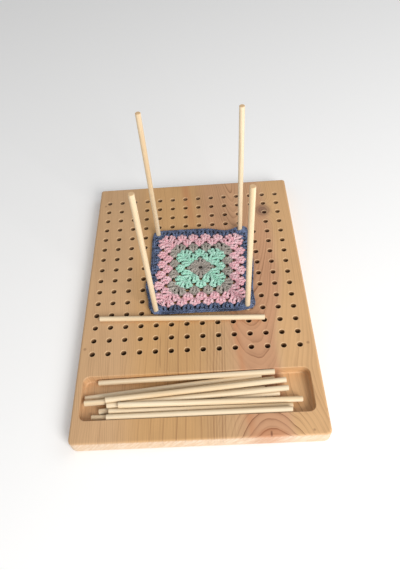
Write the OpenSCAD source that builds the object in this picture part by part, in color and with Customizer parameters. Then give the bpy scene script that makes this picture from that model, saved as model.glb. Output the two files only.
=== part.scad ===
// Blocking board: a plank with a grid of blind peg holes and a routed peg tray,
// round pegs in the holes and in the tray, and a crochet square held by four pegs.
// Millimetres. +Z is up, +Y points at the far edge, and the origin is the middle
// of the underside.

/* [Peg holes] */
// Distance between neighbouring holes, both ways
hole_pitch = 19.05; // [19:0.05:21]
// Holes across the board
hole_cols = 14; // [14:1:16]
// Holes along the board
hole_rows = 15; // [13:1:18]
// Wood left under each blind hole
hole_floor = 3; // [2:0.5:6]
// Extra diameter of a hole over its peg
hole_slack = 0.4; // [0.2:0.05:0.8]
// Broken edge round a hole's mouth
hole_chamfer = 0.4; // [0.2:0.1:0.8]

/* [Board] */
// Thickness of the plank
board_t = 19.05; // [17:0.05:25]
// Wood left of the first column of holes
edge_left = 15.8; // [11:0.1:25]
// Wood right of the last column of holes
edge_right = 18.65; // [16.5:0.05:30]
// Wood behind the back row of holes
edge_back = 31.75; // [15:0.25:40]
// Wood in front of the front row of holes
edge_front = 113.15; // [105:0.05:135]
// Rounding along the edges
edge_round = 3; // [1:0.5:4]
// Corner radius at the front, seen from above
corner_front = 7.5; // [4:0.5:14]
// Corner radius at the back, seen from above
corner_back = 4; // [4:0.5:14]

/* [Pegs] */
// Length of a peg
peg_l = 205; // [180:1:210]
// Diameter of a peg
peg_d = 6.35; // [5:0.05:7]
// Broken edge at a peg's ends
peg_chamfer = 0.5; // [0.2:0.1:0.8]
// Gap left between lying pegs and under them
lay_gap = 0.25; // [0.2:0.05:0.4]

/* [Peg tray] */
// Depth of the tray
tray_depth = 12; // [8:0.5:13]
// Width of the tray, in pegs lying side by side
tray_lanes = 8.3; // [8.3:0.1:10]
// Length of the tray beyond a peg's length
tray_spare = 55.5; // [50:0.5:58]
// Wood in front of the tray
tray_web_front = 27.8; // [20:0.1:33]
// Wood left of the tray
tray_web_left = 8.9; // [6:0.1:12]
// Corner radius of the tray, seen from above
tray_corner = 8; // [5:0.5:12]
// Radius of the cove between the tray's walls and floor
tray_cove = 2; // [1:0.5:3.5]
// Broken edge round the tray's rim
tray_rim = 0.6; // [0.2:0.1:1]

/* [Crochet square] */
// Thickness of the crochet
square_t = 4.5; // [3:0.1:6]
// How far the sides reach past the pegs
square_over_x = 12; // [8:0.5:15]
// How far the front and back reach past the pegs
square_over_y = 7.5; // [6:0.5:8]
// Half width of the first round, which holds the ring in the middle
square_core = 18; // [15:0.5:21]
// Radius of the hole in the middle
square_eye = 2.6; // [1.5:0.1:4]
// Corner radius of the first round
round_first = 6; // [4:0.5:8]
// Corner radius that each further round gains
round_gain = 1; // [0:0.1:1.2]
// Play of a peg in the corner loop that it holds
loop_play = 0.4; // [0.3:0.1:1]
// Width of a gap between two clusters at its foot
gap_foot = 4.2; // [2:0.1:5]
// Width of a gap between two clusters at its head
gap_head = 1.4; // [0.6:0.1:3]
// Yarn left along the head and foot of each gap
gap_rail = 1.6; // [1:0.1:2.5]

/* [Hidden] */
$fn = 48;
eps = 1;

wood = [0.80, 0.60, 0.38];
dowel = [0.94, 0.86, 0.73];
taupe = [0.58, 0.53, 0.50];
mint = [0.52, 0.83, 0.72];
pink = [0.93, 0.66, 0.72];
navy = [0.20, 0.25, 0.40];

// Board and grid
board_w = edge_left + (hole_cols - 1) * hole_pitch + edge_right;
board_l = edge_back + (hole_rows - 1) * hole_pitch + edge_front;
hole_d = peg_d + hole_slack;
hole_depth = board_t - hole_floor;
function hole_at(col, row) =
  [-board_w / 2 + edge_left + col * hole_pitch, board_l / 2 - edge_back - row * hole_pitch];

// Tray
lane = peg_d + lay_gap;
tray_l = peg_l + tray_spare;
tray_w = tray_lanes * lane;
tray_left = -board_w / 2 + tray_web_left;
tray_front = -board_l / 2 + tray_web_front;
tray_floor = board_t - tray_depth;

// Columns and rows of the four pegs that hold the square, counted from the back left
peg_cols = [4, 10];
peg_rows = [4, 11];
// The peg lying loose on the board: column and row of its left end, and its heading
loose_peg = [0.29, 11.41, -2.75];

// Pegs heaped in the tray, one row each, all in lanes: the left end's place from the
// tray's left wall, its place from the front wall and its height over lying on the floor,
// then how far the peg runs towards the back and upwards over lay_run to the right
lay_run = 200;
tray_lay = [
  [2.47, 7.67, 0.02, 0.03, 1.10],
  [0.35, 4.70, 0.00, 3.00, 0.00],
  [2.53, 3.90, 0.00, 3.01, 0.00],
  [4.47, 3.24, 2.08, 3.01, -1.45],
  [0.59, 3.34, 0.98, 1.74, -0.93],
  [4.56, 2.64, 1.26, 2.00, -0.45],
  [3.02, 2.15, 0.00, 1.82, 0.00],
  [6.70, 2.22, 2.06, 0.50, -1.74],
  [4.92, 1.73, 0.88, 0.00, -0.84],
  [1.85, 1.06, 0.00, -0.34, 0.00],
  [4.61, 0.64, 0.99, 0.00, 0.04]
];

// Crochet square: its middle, and the half sizes of round k of last_round
last_round = 7;
loop_d = peg_d + 2 * loop_play;
square_mid = (hole_at(peg_cols[0], peg_rows[0]) + hole_at(peg_cols[1], peg_rows[1])) / 2;
half_x = (peg_cols[1] - peg_cols[0]) * hole_pitch / 2 + square_over_x;
half_y = (peg_rows[1] - peg_rows[0]) * hole_pitch / 2 + square_over_y;
function round_x(k) = square_core + (half_x - square_core) * (k - 1) / (last_round - 1);
function round_y(k) = square_core + (half_y - square_core) * (k - 1) / (last_round - 1);
function round_corner(k) = round_first + round_gain * (k - 1);

// Points of a quarter arc round centre c, from angle a
function quarter(c, r, a, steps = 5) =
  [for (i = [0:steps]) c + r * [cos(a + 90 * i / steps), sin(a + 90 * i / steps)]];

// Outer part of a slab's section: it reaches r out, t high, with its edges rounded
function rounded_edge(r, t, low, high) = concat(
  [[0, 0]],
  quarter([r - low, low], low, -90),
  quarter([r - high, t - high], high, 0),
  [[0, t]]
);

// Outer part of the tray's section, with its cove and its broken rim
function tray_edge(r, t) = concat(
  [[0, 0]],
  quarter([r - tray_cove, tray_cove], tray_cove, -90),
  [[r, t - tray_rim], [r + tray_rim, t], [r + tray_rim, t + eps], [0, t + eps]]
);

// A slab w by l with its middle at the origin. Its border follows the section edge_f at
// the front, where corners have radius rf, and edge_b at the back, with radius rb.
module bordered_slab(w, l, t, rf, rb, edge_f, edge_b) {
  long = l - rf - rb;
  translate([-w / 2 + rf, -l / 2 + rf, 0]) {
    cube([w - 2 * rf, long, t]);
    rotate([90, 0, 90]) linear_extrude(w - 2 * rf) mirror([1, 0]) polygon(edge_f);
    rotate([0, 0, 180]) rotate_extrude(angle = 90) polygon(edge_f);
    translate([w - 2 * rf, 0, 0]) rotate([0, 0, -90]) rotate_extrude(angle = 90) polygon(edge_f);
    translate([0, long, 0]) rotate([90, 0, 0]) linear_extrude(long) mirror([1, 0]) polygon(edge_f);
    translate([w - 2 * rf, long, 0]) rotate([90, 0, 0]) linear_extrude(long) polygon(edge_f);
  }
  translate([-w / 2 + rb, l / 2 - rb, 0]) {
    rotate([90, 0, 90]) linear_extrude(w - 2 * rb) polygon(edge_b);
    rotate([0, 0, 90]) rotate_extrude(angle = 90) polygon(edge_b);
    translate([w - 2 * rb, 0, 0]) rotate_extrude(angle = 90) polygon(edge_b);
  }
}

// Blind peg hole with its mouth at the origin
module peg_hole() {
  r = hole_d / 2;
  rotate_extrude() polygon([
    [0, -hole_depth], [r, -hole_depth], [r, -hole_chamfer],
    [r + hole_chamfer, 0], [r + hole_chamfer, eps], [0, eps]
  ]);
}

module board() {
  color(wood) difference() {
    bordered_slab(board_w, board_l, board_t, corner_front, corner_back,
      rounded_edge(corner_front, board_t, edge_round, edge_round),
      rounded_edge(corner_back, board_t, edge_round, edge_round));
    for (col = [0:hole_cols - 1], row = [0:hole_rows - 1])
      translate([hole_at(col, row).x, hole_at(col, row).y, board_t]) peg_hole();
    translate([tray_left + tray_l / 2, tray_front + tray_w / 2, tray_floor])
      bordered_slab(tray_l, tray_w, tray_depth + eps, tray_corner, tray_corner,
        tray_edge(tray_corner, tray_depth), tray_edge(tray_corner, tray_depth));
  }
}

// One peg standing on the origin
module peg() {
  r = peg_d / 2;
  color(dowel) rotate_extrude() polygon([
    [0, 0], [r - peg_chamfer, 0], [r, peg_chamfer], [r, peg_l - peg_chamfer],
    [r - peg_chamfer, peg_l], [0, peg_l]
  ]);
}

// A peg seated in the hole at a column and row
module standing_peg(col, row) {
  translate([hole_at(col, row).x, hole_at(col, row).y, hole_floor]) peg();
}

// A peg with the middle of its left end at start, heading along way
module lying_peg(start, way) {
  rotation = [0, 90 - atan2(way.z, norm([way.x, way.y])), atan2(way.y, way.x)];
  translate(start) rotate(rotation) peg();
}

module loose_peg_on_board() {
  place = hole_at(loose_peg[0], loose_peg[1]);
  lying_peg([place.x, place.y, board_t + lane / 2], [cos(loose_peg[2]), sin(loose_peg[2]), 0]);
}

module tray_peg(lay) {
  lying_peg(
    [tray_left + lane * lay[0], tray_front + lane * lay[1], tray_floor + lane * (0.5 + lay[2])],
    [lay_run, lane * lay[3], lane * lay[4]]);
}

// Outline of the crochet after round k
module round_outline(k) {
  x = round_x(k) - round_corner(k);
  y = round_y(k) - round_corner(k);
  r = round_corner(k);
  polygon(concat(quarter([x, y], r, 0), quarter([-x, y], r, 90),
    quarter([-x, -y], r, 180), quarter([x, -y], r, 270)));
}

// The gaps between the clusters of round k: one fewer than its clusters on each side
module side_gaps(k, inner, outer, reach) {
  for (i = [1:1:k - 1])
    translate([(i / k * 2 - 1) * reach, 0])
      polygon([[-gap_foot / 2, inner + gap_rail / 2], [gap_foot / 2, inner + gap_rail / 2],
        [gap_head / 2, outer - gap_rail], [-gap_head / 2, outer - gap_rail]]);
}

module round_gaps(k) {
  in_x = k > 1 ? round_x(k - 1) : square_eye + gap_rail;
  in_y = k > 1 ? round_y(k - 1) : square_eye + gap_rail;
  for (turn = [0, 180]) {
    rotate(turn) side_gaps(k, in_y, round_y(k), in_x);
    rotate(turn + 90) side_gaps(k, in_x, round_x(k), in_y);
  }
  if (k < last_round)
    for (sx = [-1, 1], sy = [-1, 1])
      translate([sx * (in_x + round_x(k)) / 2, sy * (in_y + round_y(k)) / 2])
        rotate(45) square(gap_foot / 1.6 - gap_rail / 2 * sign(k), center = true);
}

// Rounds first to last of the crochet, lying on the board
module crochet_rounds(first, last) {
  translate([square_mid.x, square_mid.y, board_t])
    difference() {
      linear_extrude(square_t) difference() {
        round_outline(last);
        if (first > 1) round_outline(first - 1);
        for (k = [first:last]) round_gaps(k);
      }
      if (first == 1) translate([0, 0, -eps]) cylinder(h = square_t + 2 * eps, r = square_eye);
      if (last == last_round)
        for (col = peg_cols, row = peg_rows)
          translate([hole_at(col, row).x - square_mid.x, hole_at(col, row).y - square_mid.y, -eps])
            cylinder(h = square_t + 2 * eps, d = loop_d);
    }
}

module square_centre_taupe() { color(taupe) crochet_rounds(1, 1); }
module square_rounds_mint() { color(mint) crochet_rounds(2, 3); }
module square_round_taupe() { color(taupe) crochet_rounds(4, 4); }
module square_rounds_pink() { color(pink) crochet_rounds(5, 6); }
module square_border_navy() { color(navy) crochet_rounds(7, 7); }

board();
standing_peg(peg_cols[0], peg_rows[0]);  // peg_back_left
standing_peg(peg_cols[1], peg_rows[0]);  // peg_back_right
standing_peg(peg_cols[0], peg_rows[1]);  // peg_front_left
standing_peg(peg_cols[1], peg_rows[1]);  // peg_front_right
loose_peg_on_board();  // peg_on_board
tray_peg(tray_lay[0]);  // tray_peg_01
tray_peg(tray_lay[1]);  // tray_peg_02
tray_peg(tray_lay[2]);  // tray_peg_03
tray_peg(tray_lay[3]);  // tray_peg_04
tray_peg(tray_lay[4]);  // tray_peg_05
tray_peg(tray_lay[5]);  // tray_peg_06
tray_peg(tray_lay[6]);  // tray_peg_07
tray_peg(tray_lay[7]);  // tray_peg_08
tray_peg(tray_lay[8]);  // tray_peg_09
tray_peg(tray_lay[9]);  // tray_peg_10
tray_peg(tray_lay[10]);  // tray_peg_11
square_centre_taupe();
square_rounds_mint();
square_round_taupe();
square_rounds_pink();
square_border_navy();
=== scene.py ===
"""Looks of the blocking board: a softwood plank with peg holes and a peg tray, its dowels,
and the crochet square stretched over four of them.

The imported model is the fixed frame. Lengths are metres, apart from the crochet's and the
grain's own drawings, which are in millimetres and in hole pitches and say so.
"""
import logging
import math
from dataclasses import dataclass, field
from enum import Enum

import bpy
import numpy as np
from mathutils import Matrix, Vector


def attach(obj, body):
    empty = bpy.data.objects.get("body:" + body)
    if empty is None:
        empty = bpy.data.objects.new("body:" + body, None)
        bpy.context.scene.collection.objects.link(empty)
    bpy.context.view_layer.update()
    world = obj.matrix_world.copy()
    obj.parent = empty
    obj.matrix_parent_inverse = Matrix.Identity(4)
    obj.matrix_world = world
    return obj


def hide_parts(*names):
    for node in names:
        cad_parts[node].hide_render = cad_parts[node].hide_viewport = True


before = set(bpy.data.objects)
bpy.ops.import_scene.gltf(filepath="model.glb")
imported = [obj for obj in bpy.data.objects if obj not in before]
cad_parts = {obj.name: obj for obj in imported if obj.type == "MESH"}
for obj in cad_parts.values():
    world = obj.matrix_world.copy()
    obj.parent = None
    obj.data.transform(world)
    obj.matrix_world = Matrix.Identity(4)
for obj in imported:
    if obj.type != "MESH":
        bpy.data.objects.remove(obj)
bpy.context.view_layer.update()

LOG = logging.getLogger("blocking_board")
MM = 0.001
PITCH = 0.01905
BOARD_TOP = 0.01905
FIRST_HOLE = (-0.12525, 0.17405)
PEG_RADIUS = 0.003175

Colour = tuple[float, float, float]
Stops = tuple[tuple[float, float], ...]
Table = tuple[tuple[float, ...], tuple[float, ...]]


def linear(red: int, green: int, blue: int) -> Colour:
    """Turns a colour given in screen values into a linear one, by the sRGB curve.

    Args:
        red: its red, from 0 to 255.
        green: its green.
        blue: its blue.

    Returns:
        The linear colour, from 0 to 1.
    """
    return tuple(
        (c / 255 / 12.92) if c <= 10 else ((c / 255 + 0.055) / 1.055) ** 2.4
        for c in (red, green, blue)
    )


# Shader maths


class Wire:
    """An output socket that takes part in Python arithmetic."""

    def __init__(self, graph: "Graph", socket: bpy.types.NodeSocket | None) -> None:
        """Keeps the socket and the graph that its maths is added to."""
        self.graph = graph
        self.socket = socket

    def other(self, output: str | int) -> "Wire":
        """Gives another output of the same node."""
        return Wire(self.graph, self.socket.node.outputs[output])

    def _math(self, operation: str, *values: "Wire | float") -> "Wire":
        """Adds a Math node.

        Args:
            operation: the Math node's operation.
            values: its inputs in order.

        Returns:
            The node's output.
        """
        return self.graph.node("Math", {"operation": operation}, dict(enumerate(values)))

    def __add__(self, value: "Wire | float") -> "Wire":
        """Sum."""
        return self._math("ADD", self, value)

    __radd__ = __add__

    def __sub__(self, value: "Wire | float") -> "Wire":
        """Difference."""
        return self._math("SUBTRACT", self, value)

    def __rsub__(self, value: float) -> "Wire":
        """Difference from a number."""
        return self._math("SUBTRACT", value, self)

    def __mul__(self, value: "Wire | float") -> "Wire":
        """Product."""
        return self._math("MULTIPLY", self, value)

    __rmul__ = __mul__

    def __truediv__(self, value: "Wire | float") -> "Wire":
        """Quotient."""
        return self._math("DIVIDE", self, value)

    def __rtruediv__(self, value: float) -> "Wire":
        """A number divided by this."""
        return self._math("DIVIDE", value, self)

    def __pow__(self, value: "Wire | float") -> "Wire":
        """Power."""
        return self._math("POWER", self, value)

    def __abs__(self) -> "Wire":
        """Size without sign."""
        return self._math("ABSOLUTE", self)

    def root(self) -> "Wire":
        """Square root."""
        return self._math("SQRT", self)

    def hypot(self, value: "Wire") -> "Wire":
        """Length of the vector that the two make."""
        return (self * self + value * value).root()

    def sine(self) -> "Wire":
        """Sine of an angle in radians."""
        return self._math("SINE", self)

    def fraction(self) -> "Wire":
        """Part past the whole number below."""
        return self._math("FRACT", self)

    def floor(self) -> "Wire":
        """Whole number below."""
        return self._math("FLOOR", self)

    def least(self, value: "Wire | float") -> "Wire":
        """The smaller of the two."""
        return self._math("MINIMUM", self, value)

    def step(self, low: float, high: float) -> "Wire":
        """Rises smoothly from 0 at low to 1 at high, or falls where high is lower.

        Args:
            low: the value that gives 0.
            high: the value that gives 1.

        Returns:
            The smooth step.
        """
        flip = high < low
        rise = self.graph.node(
            "MapRange",
            {"interpolation_type": "SMOOTHSTEP", "clamp": True},
            {"Value": self, "From Min": min(low, high), "From Max": max(low, high)},
        )
        return 1 - rise if flip else rise

    def bell(self, middle: "Wire | float", half: float) -> "Wire":
        """A bump of height 1 at middle that is 0 from half its width on."""
        return abs(self - middle).step(half, 0.0)


class Graph:
    """The node tree of one material."""

    def __init__(self, name: str) -> None:
        """Starts an empty material.

        Args:
            name: the material's name.
        """
        self.material = bpy.data.materials.new(name)
        self.material.use_nodes = True
        self.tree = self.material.node_tree
        self.tree.nodes.clear()

    def node(
        self,
        kind: str,
        settings: dict | None = None,
        inputs: dict | None = None,
        output: str | int = 0,
    ) -> Wire:
        """Makes any node.

        Args:
            kind: the node's type without its ShaderNode prefix.
            settings: what is set on the node first; "points" fills its curve.
            inputs: values or links of its sockets by name or number.
            output: the output wanted.

        Returns:
            That output.
        """
        made = self.tree.nodes.new("ShaderNode" + kind)
        for name, value in (settings or {}).items():
            if name == "points":
                curve = made.mapping.curves[0]
                while len(curve.points) < len(value):
                    curve.points.new(0.5, 0.5)
                for point, place in zip(curve.points, value):
                    point.location = place
                made.mapping.update()
            else:
                setattr(made, name, value)
        for name, value in (inputs or {}).items():
            socket = made.inputs[name]
            if isinstance(value, Wire):
                self.tree.links.new(value.socket, socket)
            elif socket.type == "RGBA" and len(value) == 3:
                socket.default_value = (*value, 1.0)
            else:
                socket.default_value = value
        return Wire(self, made.outputs[output] if made.outputs else None)

    def place(self) -> Wire:
        """Object coordinates in metres, which are the row's frame at rest."""
        return self.node("TexCoord", output="Object")

    def axes(self, vector: Wire) -> tuple[Wire, Wire, Wire]:
        """Splits a vector into its three parts."""
        x = self.node("SeparateXYZ", inputs={0: vector})
        return x, x.other(1), x.other(2)

    def join(self, x: Wire | float, y: Wire | float, z: Wire | float) -> Wire:
        """Makes a vector of three parts."""
        return self.node("CombineXYZ", inputs={0: x, 1: y, 2: z})

    def noise(self, vector: Wire, scale: float = 1.0, detail: float = 2.0, rough: float = 0.5) -> Wire:
        """Smooth noise around 0.5."""
        inputs = {"Vector": vector, "Scale": scale, "Detail": detail, "Roughness": rough}
        return self.node("TexNoise", inputs=inputs)

    def dice(self, value: Wire) -> Wire:
        """A number from 0 to 1 that jumps with its input."""
        return self.node("TexWhiteNoise", {"noise_dimensions": "1D"}, {"W": value})

    def curve(self, value: Wire, stops: Stops, top: float) -> Wire:
        """A smooth curve through points.

        Args:
            value: what the curve is read at.
            stops: (value, height) pairs, from its start to its end.
            top: a height that none of them passes; the least is 0.

        Returns:
            The curve's height at value.
        """
        low, high = stops[0][0], stops[-1][0]
        points = [((at - low) / (high - low), height / top) for at, height in stops]
        place = (value - low) / (high - low)
        return self.node("FloatCurve", {"points": points}, {"Value": place}) * top

    def blend(self, mask: Wire | float, first: Wire | Colour, second: Wire | Colour) -> Wire:
        """Mixes two colours by a mask, through the node's colour sockets 6 and 7 to its output 2."""
        return self.node("Mix", {"data_type": "RGBA"}, {"Factor": mask, 6: first, 7: second}, 2)

    def shade(self, colour: Wire | Colour, amount: Wire | float) -> Wire:
        """Darkens or lightens a colour by a factor."""
        return self.node("VectorMath", {"operation": "SCALE"}, {0: colour, "Scale": amount})

    def bump(self, height: Wire, depth: float, strength: float = 1.0) -> Wire:
        """A bumped normal; depth is in metres."""
        return self.node("Bump", inputs={"Height": height, "Distance": depth, "Strength": strength})

    def surface(self, **inputs: Wire | float | Colour) -> bpy.types.Material:
        """Ends the tree with a Principled shader.

        Args:
            inputs: its sockets, with underscores for blanks.

        Returns:
            The finished material.
        """
        shader = self.node(
            "BsdfPrincipled",
            inputs={name.replace("_", " "): value for name, value in inputs.items()},
        )
        self.node("OutputMaterial", inputs={"Surface": shader})
        return self.material


# Finishes


@dataclass(frozen=True)
class Spot:
    """A point of the plank's drawing, with the two slow noises that bend the grain there."""

    graph: Graph
    u: Wire
    v: Wire
    w: Wire
    sway: Wire
    wobble: Wire


@dataclass(frozen=True)
class PlankFinish:
    """Oiled softwood. One solid grain runs through the plank, so holes, tray and edges cut it.

    Its drawing is in hole pitches: u counts columns from the first hole to the right, v rows
    from the back row to the front, and w is the depth under the top. The stops give a value
    for rows from behind the back edge to past the front edge.
    """

    sapwood: Colour = linear(209, 169, 126)
    heartwood: Colour = linear(198, 149, 114)
    gold: Colour = linear(208, 162, 106)
    line: Colour = linear(124, 76, 46)
    resin_and_hole_shade: Colour = linear(96, 50, 32)
    # Resin of the knot, pocket, crack and specks, and also the tint of the painted shade in the holes.
    knot: Colour = linear(120, 90, 78)
    red_streak: Colour = linear(196, 126, 84)
    cut_rim: Colour = linear(228, 196, 154)
    # End grain colour: the wood's own end grain, made paler partly as painted light on the end faces.
    end_grain_and_painted_light: Colour = linear(224, 202, 178)
    columns: int = 14
    rows: int = 15
    ring: float = 0.25
    fine_ring: float = 0.19
    straight_ring: float = 0.175
    squeeze: float = 1.6
    pith_column: Stops = ((-2, 9.5), (2, 9.7), (8, 10.0), (14, 10.3), (17, 10.5), (20, 10.7))
    pith_depth: Stops = (
        (-2, 0.2), (1, 1.2), (4, 4.0), (9, 14.0), (14, 23.0),
        (16.8, 27.5), (18, 25.8), (19, 22.0), (20, 18.0),
    )
    heart_left: Stops = ((-2, 6.9), (4, 7.4), (9, 8.4), (14, 8.9), (17, 9.2), (20, 9.2))
    heart_right: Stops = ((-2, 11.6), (4, 12.2), (9, 12.2), (12, 11.7), (17, 11.6), (20, 11.7))
    knot_at: tuple[float, float] = (11.9, 1.8)
    pocket_column: float = 4.3
    crack_column: float = 10.6
    blotch_at: tuple[float, float] = (10.6, 19.75)
    blotch_half: tuple[float, float] = (1.1, 0.42)
    specks_at: tuple[tuple[float, float], ...] = ((-0.5, 13.6), (13.5, 13.9), (-0.3, 0.3), (13.0, 19.6))

    def material(self) -> bpy.types.Material:
        """Builds the material.

        Returns:
            The plank's material.
        """
        g = Graph("plank_softwood")
        x, y, z = g.axes(g.place())
        u = (x - FIRST_HOLE[0]) / PITCH
        v = (FIRST_HOLE[1] - y) / PITCH
        w = (BOARD_TOP - z) / PITCH
        sway = g.noise(g.join(u * 0.35, v * 0.12, w * 0.35)) - 0.5
        wobble = g.noise(g.join(u * 1.2, v * 0.22, w * 1.2)) - 0.5
        at = Spot(g, u, v, w, sway, wobble)
        knot_far = (u - self.knot_at[0]).hypot((v - self.knot_at[1]) * 0.9) + wobble * 0.2
        band = u.step(2.5, 5.5) * u.step(9.3, 8.2) * v.step(9.5, 13.5)
        lines = self.lines(at, knot_far, band)
        base = g.blend(lines, self.zones(at, band), self.line)
        base = self.cuts(at, self.marks(at, knot_far, base))
        pores = g.noise(g.join(u * 60.0, v * 3.0, w * 60.0))
        return g.surface(
            Base_Color=base,
            Roughness=0.46 + pores * 0.16 - lines * 0.08,
            Specular_IOR_Level=0.4,
            Normal=g.bump(pores * 0.6 + lines * 0.8, 0.00012, 0.5),
        )

    def lines(self, at: Spot, knot_far: Wire, band: Wire) -> Wire:
        """Draws the dark lines of the growth rings.

        The rings lie about a pith that swings along the plank, dips under it and comes up
        again: the deeper it lies, the further out the ring that the top cuts.

        Args:
            at: the point.
            knot_far: how far it is from the knot.
            band: 1 where dense straight lines run, left of the arches at the front.

        Returns:
            How strong the lines are there.
        """
        g, u, v = at.graph, at.u, at.v
        side = u - g.curve(v, self.pith_column, 12) + at.sway * 0.7
        apart = side * self.squeeze
        spread = (apart * apart / 40) ** 2.0 + 1
        sunk = (g.curve(v, self.pith_depth, 30) / spread).root() - at.w * self.squeeze
        radius = apart.hypot(sunk) + at.wobble * 0.14 + knot_far.step(1.6, 0.0) * 1.1
        rings = radius / self.ring
        fine = radius / self.fine_ring
        luck = g.dice(rings.floor())
        fine_luck = g.dice(fine.floor() + 71.0)
        late = rings.fraction() ** 7.0
        fine_late = fine.fraction() ** 2.5

        patchy = g.noise(g.join(u * 0.8, v * 0.22, at.w)).step(0.3, 0.7)
        near = abs(side).step(4.6, 0.8)
        arches = v.step(16.4, 17.6)
        bold = late * (0.25 + arches * 0.4 + luck * luck * 1.3) * near * (0.6 + 0.4 * patchy)
        bold = bold * (1 - band * 0.45) * (1 + arches * 0.5)
        faint = fine_late * (0.2 + fine_luck * 0.8) * (0.35 + 0.65 * patchy)

        straight = (u + at.sway * 0.5 + at.wobble * 0.06 + (v - 12.0) * 0.035) / self.straight_ring
        straight_luck = g.dice(straight.floor() + 31.0)
        dense = straight.fraction() ** 2.0 * (0.1 + straight_luck * straight_luck * 0.75)
        dense = dense * (band + (1 - band) * v.step(12.0, 15.0) * u.step(8.6, 7.6) * 0.45)
        return (bold * 0.68 + faint * (0.46 - band * 0.25) + dense * 0.8).least(0.9)

    def zones(self, at: Spot, band: Wire) -> Wire:
        """Colours the zones across the plank: sapwood, golden wood and heartwood.

        Args:
            at: the point.
            band: 1 where dense straight lines run.

        Returns:
            The wood's colour before its lines.
        """
        g, u, v = at.graph, at.u, at.v
        drift = at.sway * 1.2
        past_left = u - g.curve(v, self.heart_left, 20) + drift
        past_right = u - g.curve(v, self.heart_right, 20)
        heart = past_left.step(-0.8, 0.8) * (past_right + drift).step(0.35, -0.25)
        gold = u.step(1.4, 3.6) * u.step(9.0, 6.0) * 0.75 + past_right.step(0.0, 0.5) * 0.35
        base = g.blend(gold, self.sapwood, self.gold)
        base = g.blend(heart * (0.9 - v.step(8.0, -1.0) * 0.35), base, self.heartwood)
        streak = u.bell(6.35 + (v - 1.5) * 0.12 + at.sway * 0.3, 0.55) * v.step(6.0, 0.0)
        base = g.blend(streak * 0.5, base, self.red_streak)
        cloud = g.noise(g.join(u * 0.9, v * 0.3, at.w), 1.0, 3.0, 0.6)
        base = g.shade(base, 0.9 + cloud * 0.2 - band * 0.07 + u.step(10.0, 12.5) * 0.06)
        flame = past_left.bell(0.35, 0.4) * cloud.step(0.35, 0.6) * v.step(8.0, 13.0)
        return g.blend(flame * 0.45, base, self.red_streak)

    def marks(self, at: Spot, knot_far: Wire, base: Wire) -> Wire:
        """Adds the knot at the back right, a pitch pocket, a crack, a blotch and specks.

        Args:
            at: the point.
            knot_far: how far it is from the knot.
            base: the wood's colour.

        Returns:
            The colour with the marks.
        """
        g, u, v, wobble = at.graph, at.u, at.v, at.wobble
        knot_rings = ((knot_far * 30.0).sine() * 0.5 + 0.5) * knot_far.step(0.8, 0.3)
        base = g.blend(knot_far.step(0.8, 0.1) * 0.7, base, self.knot)
        base = g.blend(knot_rings * 0.3, base, self.resin_and_hole_shade)
        pocket = (u + wobble * 0.25).bell(self.pocket_column, 0.05)
        pocket = pocket * v.step(12.4, 13.4) * v.step(15.4, 14.9)
        crack = (u + wobble * 0.3).bell(self.crack_column, 0.1)
        crack = crack * v.step(19.5, 19.65) * v.step(19.95, 19.8)
        blotch_u = (u - self.blotch_at[0]) / self.blotch_half[0]
        blotch_v = (v - self.blotch_at[1]) / self.blotch_half[1]
        blotch = (blotch_u * blotch_u + blotch_v * blotch_v + wobble).step(1.0, 0.1)
        base = g.blend(blotch * 0.4, base, self.red_streak)
        specks = sum(
            ((u - a).hypot(v - b) + wobble * 0.1).step(0.13, 0.05) for a, b in self.specks_at
        )
        return g.blend((pocket * 0.35 + crack * 0.7 + specks * 0.4).least(1.0), base, self.resin_and_hole_shade)

    def cuts(self, at: Spot, base: Wire) -> Wire:
        """Colours the cut surfaces: pale rims of the holes, painted shade on the hole walls below the
        top, and the end grain, whose pale colour is partly painted light.

        Args:
            at: the point.
            base: the wood's colour.

        Returns:
            The colour with the cut surfaces.
        """
        g, u, v, w = at.graph, at.u, at.v, at.w
        across, down = (u + 0.5).fraction() - 0.5, (v + 0.5).fraction() - 0.5
        far_mm = across.hypot(down) * (PITCH / MM)
        grid = u.step(-0.5, -0.45) * u.step(self.columns - 0.5, self.columns - 0.55)
        grid = grid * v.step(-0.5, -0.45) * v.step(self.rows - 0.5, self.rows - 0.55)
        rim = far_mm.step(4.4, 3.7) * far_mm.step(3.1, 3.4) * grid * w.step(0.05, 0.02)
        # Painted shade: the hole walls below the top are darkened and tinted towards the resin colour.
        painted_hole_shade = far_mm.step(3.6, 3.42) * grid * w.step(0.01, 0.14)
        base = g.blend(rim * 0.6, base, self.cut_rim)
        base = g.blend(painted_hole_shade * 0.4, base, self.resin_and_hole_shade)
        base = g.shade(base, 1 - painted_hole_shade * 0.4)
        # End grain: the fibre streaks and darker core are the wood's own, and its paleness is partly
        # painted light.
        _, facing, _ = g.axes(g.node("TexCoord", output="Normal"))
        ends = abs(facing).step(0.55, 0.95) * abs(v - 9.0).step(9.0, 9.6)
        fibres = g.noise(g.join(u * 6.0 + w * 5.0, v, w * 1.2), 1.0, 3.0, 0.7).step(0.42, 0.6)
        core_end = u.bell(10.4, 1.5)
        return g.blend(ends * (0.5 + fibres * 0.45) * (1 - core_end * 0.55), base, self.end_grain_and_painted_light)


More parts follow.
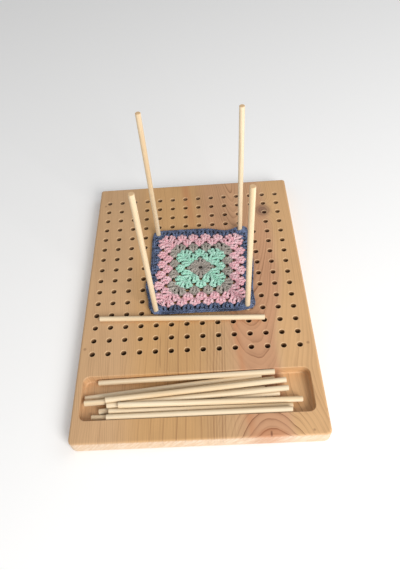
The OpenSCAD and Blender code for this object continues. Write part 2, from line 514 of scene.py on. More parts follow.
@dataclass(frozen=True)
class DowelFinish:
    """Plain birch dowel, turned to the peg that it covers."""

    pale: Colour = linear(232, 214, 184)
    warm: Colour = linear(222, 196, 158)
    streak: Colour = linear(196, 160, 118)
    end: Colour = linear(214, 176, 130)
    length: float = 0.205
    end_band: tuple[float, float] = (0.0006, 0.0001)

    def material(self, name: str, middle: Vector, along: Vector, seed: float) -> bpy.types.Material:
        """Builds the material of one peg.

        Args:
            name: the peg's name.
            middle: the peg's middle.
            along: its unit direction.
            seed: what sets its grain apart from the others'.

        Returns:
            The peg's material.
        """
        g = Graph("dowel_" + name)
        turn = along.rotation_difference(Vector((0, 0, 1)))
        shift = -(turn @ middle)
        place = g.node(
            "Mapping",
            {"vector_type": "POINT"},
            {"Vector": g.place(), "Rotation": tuple(turn.to_euler()), "Location": tuple(shift)},
        )
        x, y, z = g.axes(place)
        slow = g.noise(g.join(x * 160 + seed, y * 160, z * 7))
        grain = g.noise(g.join(x * 900 + seed, y * 900, z * 14 + seed), 1.0, 3.0, 0.6)
        flecks = g.noise(g.join(x * 1500, y * 1500 + seed, z * 120))
        base = g.blend(slow.step(0.35, 0.7), self.pale, self.warm)
        base = g.blend(grain.step(0.52, 0.75) * 0.5, base, self.streak)
        base = g.blend(flecks.step(0.62, 0.75) * 0.25, base, self.streak)
        base = g.shade(base, 0.96 + 0.08 * math.modf(seed * 0.37)[0])
        start, full = (self.length / 2 - inset for inset in self.end_band)
        base = g.blend(abs(z).step(start, full) * 0.75, base, self.end)
        return g.surface(
            Base_Color=base,
            Roughness=0.5 + grain * 0.15,
            Specular_IOR_Level=0.35,
            Normal=g.bump(grain, 0.00008, 0.4),
        )


@dataclass(frozen=True)
class YarnFinish:
    """Plied acrylic yarn. Its UV map runs round the strand and along it in millimetres. Its colour
    holds painted light: painted shade in the ply grooves and low down by the board, and painted
    highlights on the ply tops and the highest strands.
    """

    name: str
    body: Colour
    # A lighter tone of the yarn, used for its own patches and fuzz and also for the painted highlights.
    light: Colour
    # The colour of the painted shade.
    painted_shade_colour: Colour
    slot: str
    # How strong the painted shade in the ply grooves and the painted highlight on the ply tops are.
    ply_painted_shade_and_highlight: float = 0.35
    plies: int = 3
    lay_mm: float = 3.4

    def material(self, light: float = 1.0) -> bpy.types.Material:
        """Builds the material.

        Args:
            light: how bright the whole colour is; below 1 it darkens every part as painted shade, as on
                the cloth under the stitches.

        Returns:
            The yarn's material.
        """
        g = Graph("yarn_" + self.name)
        around, along, _ = g.axes(g.node("UVMap", {"uv_map": "yarn"}))
        twist = around * self.plies + along / self.lay_mm
        ply = (twist * (2 * math.pi)).sine() * 0.5 + 0.5
        fibre = ((around * 23.0 + along * 2.1) * (2 * math.pi)).sine() * 0.5 + 0.5
        place = g.place()
        _, _, z = g.axes(place)
        height_mm = (z - BOARD_TOP) / MM
        # Painted shade: the yarn gets darker the lower it lies towards the board.
        painted_low_shade = height_mm.step(3.4, 0.6)
        # Painted highlight: the highest strands are lighter.
        painted_crest_highlight = height_mm.step(3.7, 5.4)
        patch = g.noise(place, 160.0)
        fuzz = g.noise(place, 2600.0, 2.0, 0.7)
        base = g.blend(patch.step(0.35, 0.68) * 0.6, self.body, self.light)
        # Painted shade in the grooves between the plies, then a painted highlight on the ply tops.
        base = g.blend((1 - ply) ** 2.0 * self.ply_painted_shade_and_highlight, base, self.painted_shade_colour)
        base = g.blend(ply**4.0 * self.ply_painted_shade_and_highlight * 0.4, base, self.light)
        base = g.blend(fuzz.step(0.5, 0.8) * 0.3, base, self.light)
        # Painted highlight on the highest strands, strongest on the ply tops.
        base = g.blend(painted_crest_highlight * (0.1 + ply * ply * 0.5), base, self.light)
        # Painted shade low down by the board.
        base = g.blend(painted_low_shade * 0.8, base, self.painted_shade_colour)
        # Painted shade over the whole colour where light is below 1.
        base = g.shade(base, light)
        return g.surface(
            Base_Color=base,
            Roughness=0.82 + fuzz * 0.14,
            Specular_IOR_Level=0.25,
            Sheen_Weight=0.2,
            Sheen_Roughness=0.5,
            Normal=g.bump(ply * 0.8 + fibre * 0.25 + fuzz * 0.3, 0.00035, 0.9),
        )


class Yarn(Enum):
    """The square's yarns."""

    TAUPE = YarnFinish(
        "taupe", linear(160, 151, 141), linear(214, 206, 196), linear(62, 50, 40), "taupe_yarn"
    )
    MINT = YarnFinish(
        "mint", linear(172, 236, 211), linear(216, 252, 238), linear(60, 122, 92), "mint_yarn"
    )
    PINK = YarnFinish(
        "pink", linear(248, 184, 195), linear(255, 230, 234), linear(160, 80, 84), "pink_yarn"
    )
    NAVY = YarnFinish(
        "navy", linear(24, 32, 56), linear(138, 158, 202), linear(7, 9, 17), "navy_yarn", ply_painted_shade_and_highlight=0.7
    )


# Board and pegs


def dress_node(name: str, material: bpy.types.Material) -> None:
    """Puts a material on all slots of a CAD node.

    Args:
        name: the node.
        material: what it gets.
    """
    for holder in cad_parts[name].material_slots:
        holder.material = material
    LOG.info("%s: %s", name, material.name)


@dataclass
class Board:
    """The plank, which keeps its CAD shape."""

    node: str = "board"
    finish: PlankFinish = PlankFinish()

    def dress(self) -> None:
        """Gives the plank its wood."""
        dress_node(self.node, self.finish.material())


@dataclass
class PegSet:
    """Every peg: four standing, one on the board and eleven in the tray."""

    finish: DowelFinish = DowelFinish()

    def nodes(self) -> list[str]:
        """The pegs' names, in order."""
        return sorted(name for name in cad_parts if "peg" in name)

    def dress(self) -> None:
        """Gives each peg its own grain along its own length."""
        for seed, name in enumerate(self.nodes()):
            middle, along = self.lie(name)
            dress_node(name, self.finish.material(name, middle, along, 3.7 * seed + 1.3))

    @staticmethod
    def lie(name: str) -> tuple[Vector, Vector]:
        """Finds how a peg lies.

        Args:
            name: the peg's node.

        Returns:
            Its middle and its unit direction.
        """
        points = np.array([v.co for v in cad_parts[name].data.vertices])
        low, high = points.min(0), points.max(0)
        axis = int((high - low).argmax())
        start = points[points[:, axis] < low[axis] + PEG_RADIUS].mean(0)
        end = points[points[:, axis] > high[axis] - PEG_RADIUS].mean(0)
        return Vector((start + end) / 2), Vector(end - start).normalized()


# Crochet square


@dataclass
class Skein:
    """Strands of one yarn, gathered into one mesh. Points are in millimetres about the
    square's middle, with height over the board."""

    sides: int = 6
    twist_shift: float = 0.37
    points: list[np.ndarray] = field(default_factory=list)
    faces: list[tuple[int, ...]] = field(default_factory=list)
    wraps: list[tuple[float, float]] = field(default_factory=list)
    count: int = 0

    def strand(self, path: np.ndarray, radius: float | np.ndarray) -> None:
        """Adds one closed tube along a path.

        Args:
            path: the points that it follows.
            radius: its radius, or one for each point.
        """
        path = np.asarray(path, float)
        n, k = len(path), self.sides
        ahead = np.gradient(path, axis=0)
        ahead /= np.linalg.norm(ahead, axis=1)[:, None]
        across = np.cross(ahead[0], (0.0, 0.0, 1.0))
        if np.linalg.norm(across) < 0.2:
            across = np.cross(ahead[0], (1.0, 0.0, 0.0))
        frames = []
        for a in ahead:
            across = across - a * (across @ a)
            across /= np.linalg.norm(across)
            frames.append((across, np.cross(a, across)))
        turn = np.arange(k) * 2 * math.pi / k
        radii = np.broadcast_to(radius, n)
        rings = [
            p + r * (np.cos(turn)[:, None] * s + np.sin(turn)[:, None] * t)
            for p, r, (s, t) in zip(path, radii, frames)
        ]
        lengths = np.r_[0, np.cumsum(np.linalg.norm(np.diff(path, axis=0), axis=1))]
        lengths = lengths + self.count * self.twist_shift
        start = self.count
        self.points += rings
        self.count += n * k
        for i in range(n - 1):
            for j in range(k):
                a, b = start + i * k + j, start + i * k + (j + 1) % k
                self.faces.append((a, b, b + k, a + k))
                self.wraps += [
                    (j / k, lengths[i]), ((j + 1) / k, lengths[i]),
                    ((j + 1) / k, lengths[i + 1]), (j / k, lengths[i + 1]),
                ]
        for first, at, step in ((start, lengths[0], -1), (start + (n - 1) * k, lengths[-1], 1)):
            order = range(k) if step == 1 else range(k - 1, -1, -1)
            self.faces.append(tuple(first + j for j in order))
            self.wraps += [(j / k, at) for j in order]

    def mesh(self, name: str, place: Vector) -> bpy.types.Object:
        """Makes the mesh.

        Args:
            name: the piece's name.
            place: the square's middle on the board, in metres.

        Returns:
            The piece, with its place in its mesh.
        """
        data = bpy.data.meshes.new(name)
        data.from_pydata(np.concatenate(self.points) * MM + np.array(place), [], self.faces)
        data.uv_layers.new(name="yarn").data.foreach_set("uv", np.ravel(self.wraps))
        data.shade_smooth()
        piece = bpy.data.objects.new(name, data)
        bpy.context.scene.collection.objects.link(piece)
        return piece


@dataclass(frozen=True)
class Stretch:
    """How the drawn square hangs between its pegs, in millimetres.

    Pushes are to the right at the left and right edges, to the back at the front and back
    ones, and towards the middle for a lean. A bend is (push, middle, width), a slope or wave
    is (push, length), and a table holds places and the pushes there. Shares multiply the
    leans along the square.
    """

    reach: tuple[float, float] = (69, 73)
    sharpness: float = 2.5
    left_push: float = 1.0
    left_slope: tuple[float, float] = (1.5, 60)
    left_bend: tuple[float, ...] = (-4.2, -27, 20)
    left_edge: Table = ((-72, -56, -41, -25, 0, 28, 57, 73), (2.5, 3.2, 2.0, 1.0, 2.1, 1.7, 1.3, 2.5))
    right_push: float = -1.2
    right_bend: tuple[float, ...] = (4.0, 2, 30)
    right_edge: Table = ((-72, -45, 0, 20), (0.0, -2.0, -1.5, 0.0))
    back_push: float = 0.7
    back_bend: tuple[float, ...] = (-6.0, 38, 18)
    front_wave: tuple[float, float] = (0.3, 20)
    lean_left: Table = ((10, 30, 45, 60, 69), (0.0, 1.3, 2.0, 1.0, 0.0))
    lean_left_share: Table = ((-60, -20, 40), (0.4, 0.8, 1.4))
    lean_right: Table = ((10, 35, 62, 69), (0.0, 1.5, 1.5, 0.0))
    lean_right_share: Table = ((-50, 0, 30), (1.5, 1.0, 0.0))
    to_back: Table = ((-76, -66, -20, 0, 14, 34), (1.6, 3.0, 2.8, 2.8, 1.8, 0.0))

    @staticmethod
    def bend(at: np.ndarray, form: tuple[float, ...]) -> np.ndarray:
        """The push of a bend at each place."""
        push, middle, width = form
        return push * np.exp(-(((at - middle) / width) ** 2))

    def pull(self, points: np.ndarray) -> np.ndarray:
        """Pulls drawn points into place.

        Args:
            points: drawn points.

        Returns:
            The same points, moved.
        """
        p = np.array(points, float)
        x, y = p[:, 0].copy(), p[:, 1].copy()
        reach_x = np.clip(np.abs(x) / self.reach[0], 0, 1) ** self.sharpness
        reach_y = np.clip(np.abs(y) / self.reach[1], 0, 1) ** self.sharpness
        left = self.left_push + self.left_slope[0] * y / self.left_slope[1]
        left += self.bend(y, self.left_bend)
        left += np.interp(y, *self.left_edge)
        right = self.right_push + self.bend(y, self.right_bend) + np.interp(y, *self.right_edge)
        back = self.back_push + self.bend(x, self.back_bend)
        front = self.front_wave[0] * np.cos(x / self.front_wave[1])
        lean_left = np.interp(-x, *self.lean_left) * np.interp(y, *self.lean_left_share)
        lean_right = np.interp(x, *self.lean_right) * np.interp(y, *self.lean_right_share)
        p[:, 0] += np.where(x < 0, left, right) * reach_x + lean_left - lean_right
        p[:, 1] += np.where(y > 0, back, front) * reach_y
        p[:, 1] += np.interp(y, *self.to_back)
        return p


@dataclass(frozen=True)
class FanForm:
    """How the three stitches of a fan stand, in millimetres.

    Attributes:
        head_step: from head to head, or None for a third of the step between fans.
        shoulder: how far the outer heads fall back.
        foot_step: from foot to foot.
        bow: how far the outer posts bow.
        tilt: the angle by which the outer tops turn.
        corner_pull: how far the head beside a corner moves towards it.
    """

    head_step: float | None
    shoulder: float
    foot_step: float
    bow: float
    tilt: float
    corner_pull: float


class Fan(Enum):
    """The fans of the first round, of those between and of the last round."""

    FIRST = FanForm(5.6, 4.6, 0.9, 0.0, 0.35, 0.0)
    BETWEEN = FanForm(4.5, 2.3, 1.5, 0.75, 0.35, 2.4)
    LAST = FanForm(None, 0.0, 2.55, 0.75, 0.0, 0.0)


@dataclass(frozen=True)
class PostForm:
    """A tall stitch's post from foot to head, with its core, its two plies and its wrap.

    The core's sizes are in millimetres, low heights are shares of the square's rise, and
    other sizes of the plies and the wrap are shares of the yarn's radius or of the post. A
    gain or run is what is added from foot to head. The plies' twist is in radians and the
    wrap's turn in half turns.
    """

    points: int = 8
    core: float = 1.3
    core_gain: float = 0.75
    core_gap: float = 0.2
    core_arch: float = 0.5
    ply_low: float = 0.6
    ply_arch: float = 0.75
    arch_start: float = 0.08
    arch_run: float = 0.66
    twist: float = 2.6
    ply_width: float = 1.05
    width_foot: float = 0.45
    width_gain: float = 0.6
    flatness: float = 0.7
    ply_foot: float = 0.85
    ply_gain: float = 0.3
    wrap_points: int = 6
    wrap_from: float = 1.15
    wrap_turn: float = 1.3
    wrap_start: float = 0.38
    wrap_run: float = 0.24
    wrap_width: float = 2.0
    wrap_low: float = 1.05
    wrap_arch: float = 1.35
    wrap_radius: float = 0.85


@dataclass(frozen=True)
class LoopForm:
    """The two strands of a chain stitch, in millimetres; apart and radius are shares of the
    yarn's radius, and width is a share of the stitch's."""

    points: int = 6
    arch_start: float = 0.04
    arch_run: float = 0.92
    width: float = 0.86
    overlap: float = 1.2
    apart: float = 1.05
    bulge: float = 0.8
    lift: float = 0.5
    tip: float = 0.35
    arch: float = 0.9
    dip: float = 1.3
    radius: float = 0.88


@dataclass(frozen=True)
class Side:
    """One side of a round: its outward and its own direction, how far out it is, half its
    length, and the steps between fans on it and on the next side."""

    out: np.ndarray
    edge: np.ndarray
    far: float
    half: float
    step: float
    next_step: float


def outward(edge: np.ndarray) -> np.ndarray:
    """The direction out of the square at a place where its rounds run along edge."""
    return np.array([edge[1], -edge[0]])


@dataclass
class CrochetSquare:
    """A seven-round granny square, worked from its middle in clusters of three tall
    stitches, with a dense last round and a plaited edge. Sizes are in millimetres."""

    body: str = "crochet_square"
    middle: tuple[float, float] = (8.1, 31.175)
    last_round: int = 7
    # Half the size of each round, and the steps between its fans
    half_x: tuple[float, ...] = (0, 17.6, 25.6, 33.6, 43.2, 51.8, 60.4, 66.6)
    half_y: tuple[float, ...] = (0, 17.6, 25.9, 34.6, 45.6, 54.6, 63.4, 71.2)
    step_x: float = 17.7
    step_y: float = 19.2
    outer_rounds: int = 6
    outer_share: float = 0.975
    shape: Stretch = Stretch()
    # The stitches and their fans
    stitch: float = 4.5
    head_inset: float = 1.1
    foot_reach: float = 3.6
    corner_inset: float = 5.2
    second_inset: float = 2.4
    extra_drop: float = 2.6
    corner_drop: float = -0.3
    ring: float = 2.8
    diagonal: float = 11.4
    jitter: float = 0.14
    yarn: float = 1.15
    yarn_range: tuple[float, float] = (0.94, 1.06)
    rise: float = 2.3
    post: PostForm = PostForm()
    loop: LoopForm = LoopForm()
    # The room of the pegs and the board, and how far the yarn climbs round each peg
    peg_x: float = 57.15
    peg_y: float = 66.675
    peg_room: float = 0.45
    board_gap: float = 0.08
    climb_width: float = 8.0
    climbs: tuple[tuple[int, int, float], ...] = (
        (-1, 1, 0.8), (1, 1, 3.0), (-1, -1, 1.8), (1, -1, 3.0),
    )
    # The chain loops at the corners
    chain_stitch: float = 4.4
    loop_clear: float = 1.6
    loop_inset: float = 2.0
    loop_pull: float = 0.8
    last_loop_pull: float = 2.5
    loop_sink: float = 0.3
    # The plait round the outside and the short stitches under it
    outer_half: tuple[float, float] = (69.2, 73.9)
    corner_radii: tuple[float, ...] = (7.0, 12.0, 15.0, 10.0)
    plaits: int = 128
    plait_inset: float = 1.7
    short_inset: float = 4.6
    short_reach: float = 0.9
    short_foot: float = 0.4
    short_splay: float = 0.7
    short_sink: float = 0.5
    short_arch: float = 0.6
    short_radius: float = 0.85
    # The thin cloth of the undersides, and the gaps in it; its colour is the yarns' darkened as painted
    # shade
    cell: float = 0.8
    cloth_half: tuple[float, float] = (66.0, 70.5)
    cloth_height: float = 0.45
    cloth_thickness: float = 0.5
    cloth_painted_shade: float = 0.3
    middle_hole: float = 1.0
    peg_hole: float = 6.0
    gap_out: float = 2.0
    gap_half: tuple[float, float] = (2.6, 2.2)

    def __post_init__(self) -> None:
        """Starts the skeins."""
        self.random = np.random.default_rng(11)
        self.skeins = {
            "square_yarn_centre": (Yarn.TAUPE, "square_centre_taupe", Skein()),
            "square_yarn_mint": (Yarn.MINT, "square_rounds_mint", Skein()),
            "square_yarn_taupe": (Yarn.TAUPE, "square_round_taupe", Skein()),
            "square_yarn_pink": (Yarn.PINK, "square_rounds_pink", Skein()),
            "square_yarn_navy": (Yarn.NAVY, "square_border_navy", Skein()),
        }

    def skein(self, k: int) -> Skein:
        """The skein of round k."""
        names = list(self.skeins)
        return self.skeins[names[(0, 0, 1, 1, 2, 3, 3, 4)[k]]][2]

    def clear_pegs(self, points: np.ndarray, radius: float) -> np.ndarray:
        """Pushes a strand out of the pegs' room, and lifts it where it climbs round a peg.

        Args:
            points: the points that it follows.
            radius: its largest radius.

        Returns:
            The same points, moved.
        """
        p = np.array(points, float)
        room = PEG_RADIUS / MM + radius + self.peg_room
        for sx, sy, climb in self.climbs:
            peg = (sx * self.peg_x, sy * self.peg_y)
            off = p[:, :2] - peg
            far = np.linalg.norm(off, axis=1)
            near = far < room
            off[near] *= (room / np.maximum(far[near], 0.05))[:, None]
            p[near, :2] = off[near] + peg
            p[:, 2] += climb * np.exp(-((far / self.climb_width) ** 2))
        return p

    def lay(self, skein: Skein, path: np.ndarray, radius: float | np.ndarray) -> None:
        """Adds a strand after stretching it, clear of pegs and board.

        Args:
            skein: where it goes.
            path: the drawn points that it follows.
            radius: its radius, or one for each point.
        """
        p = self.clear_pegs(self.shape.pull(path), float(np.max(radius)))
        p[:, 2] = np.maximum(p[:, 2], radius + self.board_gap)
        skein.strand(p, radius)

    def tall_stitch(
        self,
        skein: Skein,
        foot: np.ndarray,
        head: np.ndarray,
        edge: np.ndarray,
        bow: float = 0.0,
        tilt: float = 0.0,
    ) -> None:
        """One tall stitch: two plies twisted round a core into a post that swells towards
        its head, the yarn over across it and the two loops on its top.

        Args:
            skein: where it goes.
            foot: the point that it grows from.
            head: the middle of its top.
            edge: the unit direction along the round.
            bow: how far the post bows sideways on its way.
            tilt: the angle by which its top turns away from the round's direction.
        """
        form, post = self.post, head - foot
        spin = self.random.uniform(-0.5, 0.5)
        swell = self.yarn * self.random.uniform(*self.yarn_range)
        t = np.linspace(0.0, 1.0, form.points)
        spine = foot + np.outer(t, post) + np.outer(bow * 4 * t * (1 - t), edge)
        core = form.core + form.core_gain * t
        height = core + form.core_gap + form.core_arch * np.sin(math.pi * t)
        self.lay(skein, np.c_[spine, height], core)
        arch = np.sin(math.pi * (form.arch_start + form.arch_run * t))
        lift = self.rise * (form.ply_low + form.ply_arch * arch)
        width = form.ply_width * self.yarn * (form.width_foot + form.width_gain * t)
        for phase in (0.0, math.pi):
            angle = spin + phase + form.twist * t
            line = spine + np.outer(np.cos(angle) * width, edge)
            height = lift + np.sin(angle) * width * form.flatness
            self.lay(skein, np.c_[line, height], swell * (form.ply_foot + form.ply_gain * t))
        t = np.linspace(0.0, 1.0, form.wrap_points)
        angle = math.pi * (form.wrap_from - form.wrap_turn * t)
        line = foot + np.outer(form.wrap_start + form.wrap_run * t, post)
        line = line + np.outer(np.cos(angle) * form.wrap_width * self.yarn + bow, edge)
        height = self.rise * form.wrap_low + np.sin(angle) * form.wrap_arch * self.yarn
        self.lay(skein, np.c_[line, height], swell * form.wrap_radius)
        turn = np.array([[math.cos(tilt), -math.sin(tilt)], [math.sin(tilt), math.cos(tilt)]])
        width = min(self.stitch, np.linalg.norm(post)) * self.loop.width
        self.top_loops(skein, head, turn @ edge, width, swell)

    def top_loops(
        self, skein: Skein, head: np.ndarray, edge: np.ndarray, width: float, swell: float
    ) -> None:
        """The two strands of a chain stitch over a stitch's head.

        Args:
            skein: where they go.
            head: the middle of the stitch's top.
            edge: the unit direction along the round.
            width: the stitch's width.
            swell: the yarn's radius.
        """
        form = self.loop
        t = np.linspace(0.0, 1.0, form.points)
        arch = np.sin(math.pi * (t * form.arch_run + form.arch_start))
        for side in (-1, 1):
            line = head + np.outer((t - 0.5) * (width + form.overlap), edge)
            apart = side * form.apart * self.yarn * arch**form.bulge
            line = line + np.outer(apart, outward(edge))
            height = self.rise + form.lift - form.tip * side + form.arch * arch
            height = height - form.dip * (1 - t) ** 3
            self.lay(skein, np.c_[line, height], swell * form.radius)

    def chain(self, skein: Skein, path: np.ndarray) -> None:
        """Chain stitches along a corner's loop, thinner than a stitch's top.

        Args:
            skein: where they go.
            path: the points that they follow, in plan.
        """
        steps = np.linalg.norm(np.diff(path, axis=0), axis=1)
        total = steps.sum()
        count = max(2, round(total / self.chain_stitch))
        far = np.r_[0, np.cumsum(steps)]
        swell = self.yarn * (1 - self.loop_sink)
        for i in range(count):
            at = (i + 0.5) * total / count + np.array([-1.0, 0.0, 1.0])
            before, head, after = np.c_[np.interp(at, far, path[:, 0]), np.interp(at, far, path[:, 1])]
            edge = (after - before) / np.linalg.norm(after - before)
            self.top_loops(skein, head, edge, total / count, swell)

    def sides(self, k: int) -> list[Side]:
        """The four sides of a round.

        Args:
            k: the round.

        Returns:
            Its front, right, back and left side, in working order.
        """
        x, y = np.array([1.0, 0.0]), np.array([0.0, 1.0])
        half_x, half_y = self.half_x[k], self.half_y[k]
        share = self.outer_share if k >= self.outer_rounds else 1.0
        step_x, step_y = self.step_x * share, self.step_y * share
        return [
            Side(-y, x, half_y, half_x, step_x, step_y),
            Side(x, y, half_x, half_y, step_y, step_x),
            Side(y, -x, half_y, half_x, step_x, step_y),
            Side(-x, -y, half_x, half_y, step_y, step_x),
        ]

    def work_round(self, k: int) -> None:
        """Works a round: fans along each side and a loop at each corner.

        Args:
            k: the round.
        """
        for side, inner in zip(self.sides(k), self.sides(k - 1)):
            for i in range(k):
                along = (i - (k - 1) / 2) * side.step
                corner = 0 if k == 1 or 0 < i < k - 1 else int(math.copysign(1, along))
                foot_at, foot_far = along, inner.far - self.foot_reach
                if corner:
                    inset = self.corner_inset + (self.second_inset if k == 2 else 0.0)
                    foot_at, foot_far = corner * (inner.half - inset), inner.far - inset
                if k == 1:
                    foot_far = self.ring
                self.work_fan(k, side, corner, along, (foot_at, foot_far))
            if k == 1:
                slant = (side.out + side.edge) / math.sqrt(2)
                across = (side.edge - side.out) / math.sqrt(2)
                self.tall_stitch(self.skein(k), slant * self.ring, slant * self.diagonal, across)
            else:
                self.turn_corner(k, side)

    def work_fan(
        self, k: int, side: Side, corner: int, along: float, foot_place: tuple[float, float]
    ) -> None:
        """Works one fan of tall stitches.

        Args:
            k: the round.
            side: the side that it is on.
            corner: -1 or 1 beside the corner at the side's start or end, otherwise 0.
            along: where its middle is along the side.
            foot_place: where it grows from, along the side and outward.
        """
        last = k == self.last_round
        form = (Fan.FIRST if k == 1 else Fan.LAST if last else Fan.BETWEEN).value
        head_step = form.head_step or side.step / 3
        for j in [-1, 0, 1] + ([2 * corner] if last and corner else []):
            jitter = self.random.normal(0, self.jitter, 4)
            by_corner = corner != 0 and j == corner
            drop = form.shoulder * j * j
            if by_corner:
                drop = self.corner_drop
            elif abs(j) > 1:
                drop = self.extra_drop
            reach = j * head_step + (form.corner_pull * corner if by_corner else 0.0)
            head_far = side.far - self.head_inset - drop + jitter[0]
            head = side.out * head_far + side.edge * (along + reach + jitter[1])
            foot = side.out * (foot_place[1] + jitter[2])
            foot = foot + side.edge * (foot_place[0] + j * form.foot_step + jitter[3])
            self.tall_stitch(self.skein(k), foot, head, side.edge, j * form.bow, j * form.tilt)

    def turn_corner(self, k: int, side: Side) -> None:
        """The chain across the corner at the end of a side, pulled low by the next round.

        Args:
            k: the round.
            side: the side.
        """
        fans, inset = (k - 1) / 2, self.loop_inset
        start = np.array([fans * side.step + self.stitch + self.loop_clear, side.far - inset])
        stop = np.array([side.half - inset, fans * side.next_step + self.stitch + self.loop_clear])
        pull = (start + stop) / 2 + (self.last_loop_pull if k == self.last_round else self.loop_pull)
        t = np.linspace(0, 1, 12)[:, None]
        bend = (1 - t) ** 2 * start + 2 * t * (1 - t) * pull + t**2 * stop
        self.chain(self.skein(k), bend[:, :1] * side.edge + bend[:, 1:] * side.out)

    def outline(self, inset: float) -> np.ndarray:
        """Evenly spaced points of the square's rounded outline, one for each plait.

        Args:
            inset: how far inside the outer edge it runs.

        Returns:
            The points, in plan, closed by the first.
        """
        hx, hy = (half - inset for half in self.outer_half)
        quarters = ((1, 1, 0), (-1, 1, 90), (-1, -1, 180), (1, -1, 270))
        rough = []
        for (sx, sy, start), radius in zip(quarters, self.corner_radii):
            corner = max(radius - inset, 3.0)
            for t in range(0, 91, 6):
                angle = math.radians(start + t)
                x = sx * (hx - corner) + corner * math.cos(angle)
                y = sy * (hy - corner) + corner * math.sin(angle)
                rough.append((x, y))
        rough = np.array(rough + rough[:1])
        far = np.r_[0, np.cumsum(np.linalg.norm(np.diff(rough, axis=0), axis=1))]
        at = np.linspace(0, far[-1], self.plaits + 1)
        return np.c_[np.interp(at, far, rough[:, 0]), np.interp(at, far, rough[:, 1])]

    def work_edge(self) -> None:
        """Works the plait of short stitches round the outside."""
        skein = self.skein(self.last_round)
        plait, feet = self.outline(self.plait_inset), self.outline(self.short_inset)
        for i in range(self.plaits):
            edge = plait[i + 1] - plait[i]
            width = np.linalg.norm(edge)
            edge = edge / width
            head = (plait[i] + plait[i + 1]) / 2
            self.top_loops(skein, head, edge, width, self.yarn)
            foot = (feet[i] + feet[i + 1]) / 2
            t = np.linspace(0, 1, 5)[:, None]
            for side in (-1, 1):
                splay = edge * side * (self.short_foot + self.short_splay * t)
                line = foot + (head - foot) * t * self.short_reach + splay
                height = self.rise - self.short_sink + self.short_arch * np.sin(math.pi * t[:, 0])
                self.lay(skein, np.c_[line, height], self.yarn * self.short_radius)

    def build(self) -> None:
        """Makes every piece of the square and places it."""
        for k in range(1, self.last_round + 1):
            self.work_round(k)
        self.work_edge()
        place = Vector((self.middle[0] * MM, self.middle[1] * MM, BOARD_TOP))
        pieces = []
        finishes = {yarn: yarn.value.material() for yarn in Yarn}
        for name, (yarn, node, skein) in self.skeins.items():
            piece = skein.mesh(name, place)
            piece.data.materials.append(finishes[yarn])
            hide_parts(node)
            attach(piece, self.body)
            pieces.append(piece)
            LOG.info("%s: %d faces", name, len(piece.data.polygons))
        self.ground(place, pieces)

    def ground(self, place: Vector, pieces: list[bpy.types.Object]) -> None:
        """The undersides of the stitches, as one thin cloth with the square's gaps cut out, coloured
        with copies of the yarns darkened as painted shade.

        Args:
            place: the square's middle on the board, in metres.
            pieces: the yarns that lie on it; not used.
        """
        hx, hy = self.cloth_half
        nx, ny = round(2 * hx / self.cell), round(2 * hy / self.cell)
        xs, ys = np.linspace(-hx, hx, nx + 1), np.linspace(-hy, hy, ny + 1)
        flat = self.shape.pull(np.array([(x, y, self.cloth_height) for y in ys for x in xs]))
        quads, rounds = [], []
        for j in range(ny):
            for i in range(nx):
                x, y = (xs[i] + xs[i + 1]) / 2, (ys[j] + ys[j + 1]) / 2
                k = self.round_at(x, y)
                if self.is_gap(k, x, y):
                    continue
                a = j * (nx + 1) + i
                quads.append((a, a + 1, a + nx + 2, a + nx + 1))
                rounds.append(k)
        data = bpy.data.meshes.new("square_ground")
        data.from_pydata(flat * MM + np.array(place), [], quads)
        for yarn in Yarn:
            # Each yarn's material again, darkened as painted shade for the undersides.
            data.materials.append(yarn.value.material(self.cloth_painted_shade))
        of_round = (0, 0, 1, 1, 0, 2, 2, 3)
        data.polygons.foreach_set("material_index", [of_round[k] for k in rounds])
        data.uv_layers.new(name="yarn")
        piece = bpy.data.objects.new("square_ground", data)
        bpy.context.scene.collection.objects.link(piece)
        bpy.ops.object.select_all(action="DESELECT")
        bpy.context.view_layer.objects.active = piece
        piece.select_set(True)
        bpy.ops.object.mode_set(mode="EDIT")
        bpy.ops.mesh.select_all(action="SELECT")
        bpy.ops.mesh.delete_loose()
        bpy.ops.object.mode_set(mode="OBJECT")
        solid = piece.modifiers.new("thickness", "SOLIDIFY")
        solid.thickness = self.cloth_thickness * MM
        solid.offset = 0.0
        bpy.ops.object.modifier_apply(modifier=solid.name)
        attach(piece, self.body)
        LOG.info("square_ground: %d cells", len(quads))

    def round_at(self, x: float, y: float) -> int:
        """Finds the round that holds a point.

        Args:
            x: the point's place to the right of the middle.
            y: its place behind the middle.

        Returns:
            The round's number.
        """
        for k in range(1, self.last_round):
            if abs(x) < self.half_x[k] and abs(y) < self.half_y[k]:
                return k
        return self.last_round

    def is_gap(self, k: int, x: float, y: float) -> bool:
        """Tells whether a gap between two fans, the middle hole or a peg is at a point.

        Args:
            k: the round that holds it.
            x: the point's place to the right of the middle.
            y: its place behind the middle.

        Returns:
            True where the cloth is open.
        """
        if math.hypot(x, y) < self.middle_hole:
            return True
        if math.hypot(abs(x) - self.peg_x, abs(y) - self.peg_y) < self.peg_hole:
            return True
        if k in (1, self.last_round):
            return False
        on_x = abs(y) / self.half_y[k] > abs(x) / self.half_x[k]
        s, step = (x, self.step_x) if on_x else (y, self.step_y)
        out = abs(y) - self.half_y[k - 1] if on_x else abs(x) - self.half_x[k - 1]
        phase = (s / step + (k - 1) / 2) % 1.0
        along, outside = self.gap_half
        return math.hypot((phase - 0.5) * step / along, (out - self.gap_out) / outside) < 1.0


# Studio


@dataclass(frozen=True)
class Lamp:
    """A soft square light that faces the middle of the board."""

    name: str
    place: tuple[float, float, float]
    size: float
    watts: float
    colour: Colour

    def hang(self) -> None:
        """Adds it to the scene."""
        lamp = bpy.data.lights.new(self.name, "AREA")
        lamp.shape = "SQUARE"
        lamp.size = self.size
        lamp.energy = self.watts
        lamp.color = self.colour
        holder = bpy.data.objects.new(self.name, lamp)
        bpy.context.scene.collection.objects.link(holder)
        turn = Vector(self.place).to_track_quat("Z", "Y").to_matrix().to_4x4()
        holder.matrix_world = Matrix.Translation(self.place) @ turn


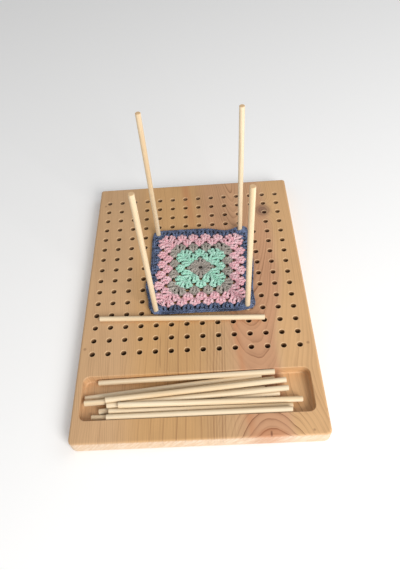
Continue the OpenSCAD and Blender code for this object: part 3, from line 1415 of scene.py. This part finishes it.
@dataclass
class Studio:
    """The camera at the photograph's place, a pale floor and soft light."""

    place: tuple[float, float, float] = (0.0228, -0.3965, 0.5052)
    right: tuple[float, float, float] = (0.9978, -0.0192, -0.0628)
    ahead: tuple[float, float, float] = (-0.0406, 0.5710, -0.8199)
    focal_px: float = 482.3
    middle_px: tuple[float, float] = (194.7, 325.3)
    picture_px: tuple[int, int] = (400, 570)
    sensor_mm: float = 36.0
    floor_half: float = 4.0
    floor_colour: Colour = (0.9, 0.9, 0.9)
    floor_glow: float = 0.1
    room_light: float = 0.37
    lamps: tuple[Lamp, ...] = (
        Lamp("key", (0.75, -1.25, 0.9), 0.8, 26, (1.0, 0.985, 0.96)),
        Lamp("fill", (1.3, 0.5, 1.2), 1.2, 5, (0.96, 0.98, 1.0)),
        Lamp("fill_left", (-1.3, -0.3, 1.2), 1.2, 2.4, (0.96, 0.98, 1.0)),
    )

    def camera(self) -> None:
        """Sets up the camera, with the shift that the picture's crop needs."""
        z = -Vector(self.ahead).normalized()
        x = Vector(self.right)
        x = (x - z * x.dot(z)).normalized()
        y = z.cross(x)
        lens = bpy.data.cameras.new("camera")
        wide, high = self.picture_px
        lens.sensor_width = self.sensor_mm
        lens.lens = self.focal_px * self.sensor_mm / high
        lens.shift_x = (wide / 2 - self.middle_px[0]) / high
        lens.shift_y = (self.middle_px[1] - high / 2) / high
        lens.clip_start = 0.01
        camera = bpy.data.objects.new("camera", lens)
        bpy.context.scene.collection.objects.link(camera)
        camera.matrix_world = Matrix.Translation(self.place) @ Matrix((x, y, z)).transposed().to_4x4()
        bpy.context.scene.camera = camera

    def floor(self) -> None:
        """Lays the floor under the board."""
        bpy.ops.object.select_all(action="DESELECT")
        bpy.ops.mesh.primitive_plane_add(size=2 * self.floor_half, location=(0, 0, 0))
        ground = bpy.context.active_object
        ground.name = "floor"
        pale = Graph("floor_pale").surface(
            Base_Color=self.floor_colour,
            Roughness=0.9,
            Emission_Color=(1.0, 1.0, 1.0),
            Emission_Strength=self.floor_glow,
        )
        ground.data.materials.append(pale)

    def build(self) -> None:
        """Makes the floor and the lights."""
        self.floor()
        for lamp in self.lamps:
            lamp.hang()
        world = bpy.data.worlds.new("room")
        world.use_nodes = True
        background = world.node_tree.nodes["Background"]
        background.inputs["Color"].default_value = (1.0, 1.0, 1.0, 1.0)
        background.inputs["Strength"].default_value = self.room_light
        bpy.context.scene.world = world
        bpy.context.scene.view_settings.view_transform = "Standard"


def main() -> None:
    """Builds and dresses the scene in order."""
    logging.basicConfig(level=logging.INFO, format="%(name)s %(message)s")
    studio = Studio()
    studio.camera()
    Board().dress()
    PegSet().dress()
    CrochetSquare().build()
    studio.build()


if __name__ == "__main__":
    main()
